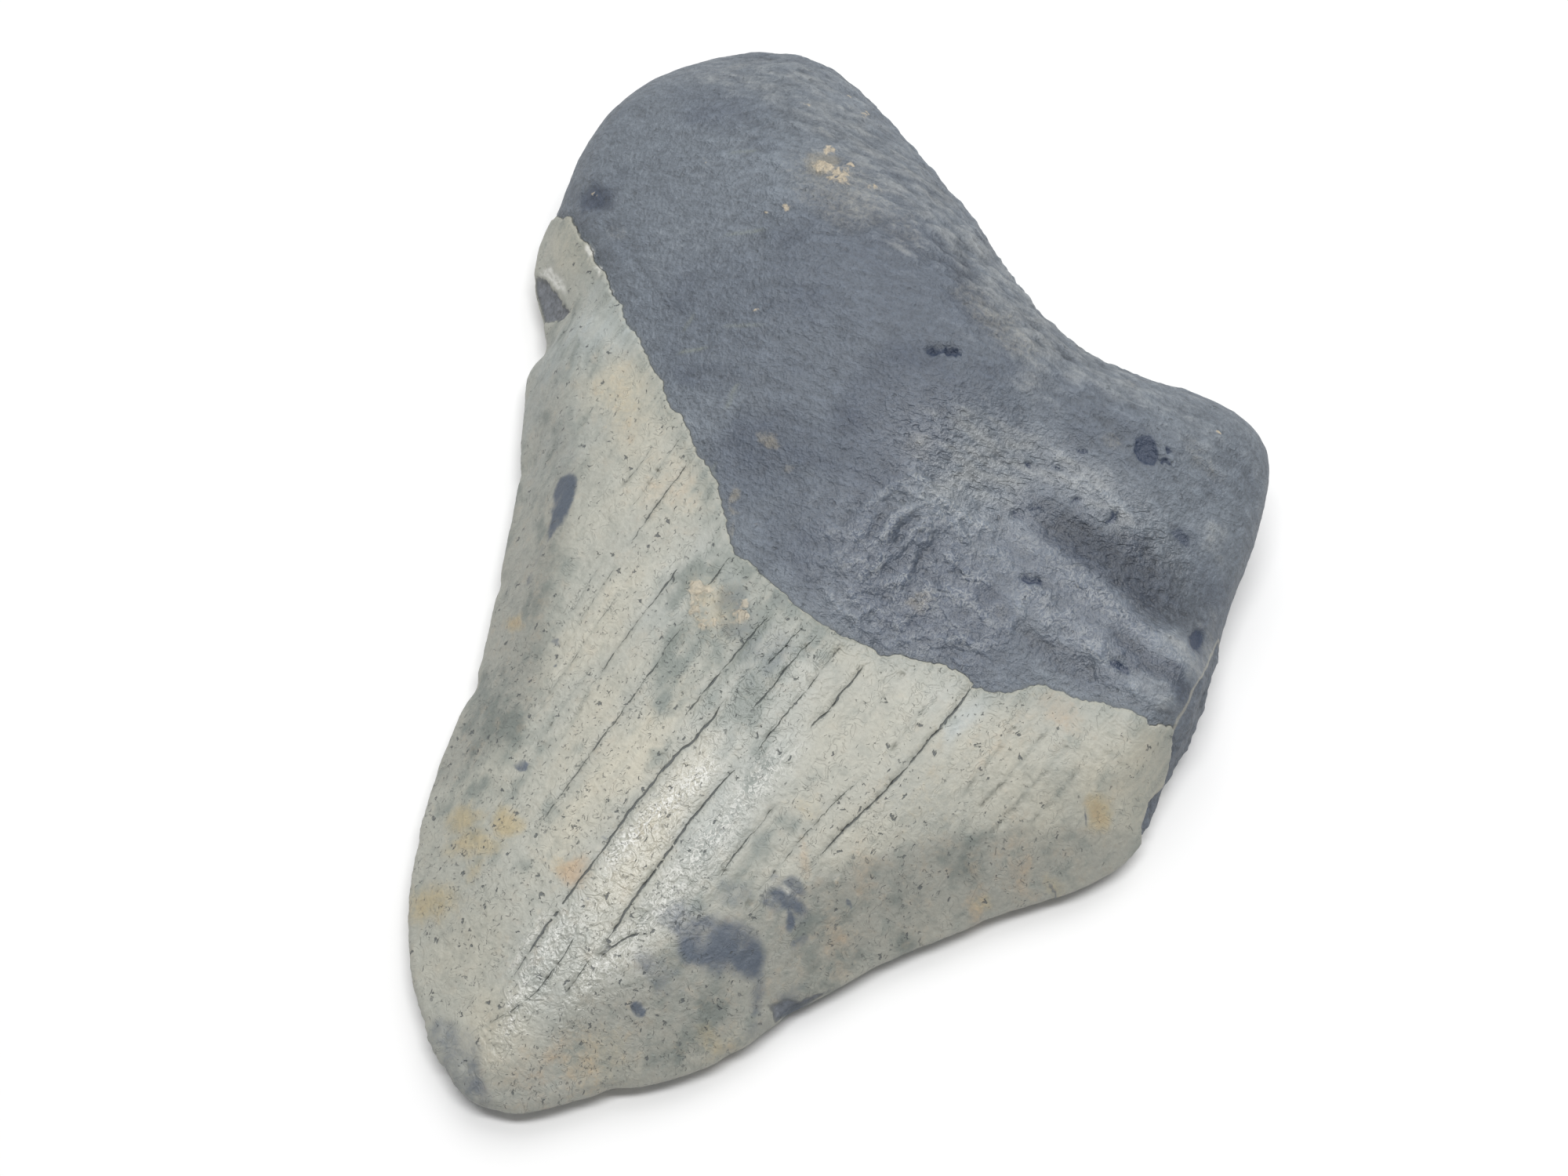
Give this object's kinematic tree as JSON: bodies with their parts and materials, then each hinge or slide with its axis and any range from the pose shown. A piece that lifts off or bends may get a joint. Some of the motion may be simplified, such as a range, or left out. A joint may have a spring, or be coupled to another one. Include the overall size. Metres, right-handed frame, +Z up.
{
  "type": "fossil megalodon tooth",
  "caption": "Worn fossil shark tooth lying on its flat outer face: broad triangular enamel crown, thick dark root with one lobe shortened, chipped shoulders.",
  "frame": {"origin": "middle of the tooth's box, on the surface it rests on", "axes": "+Y from the crown's tip towards the root, +X across the tooth towards the broken shoulder, +Z up out of the rounded inner face"},
  "size_m": [0.0736, 0.0894, 0.0179],
  "materials": {
    "fossil_tooth": "mineralised tooth: grey-green to cream enamel crown with fine dark lengthwise cracks, satin; slate-grey root, finely pitted, satin to dull"
  },
  "bodies": {
    "root": {"tooth": "fossil_tooth"}
  },
  "joints": []
}
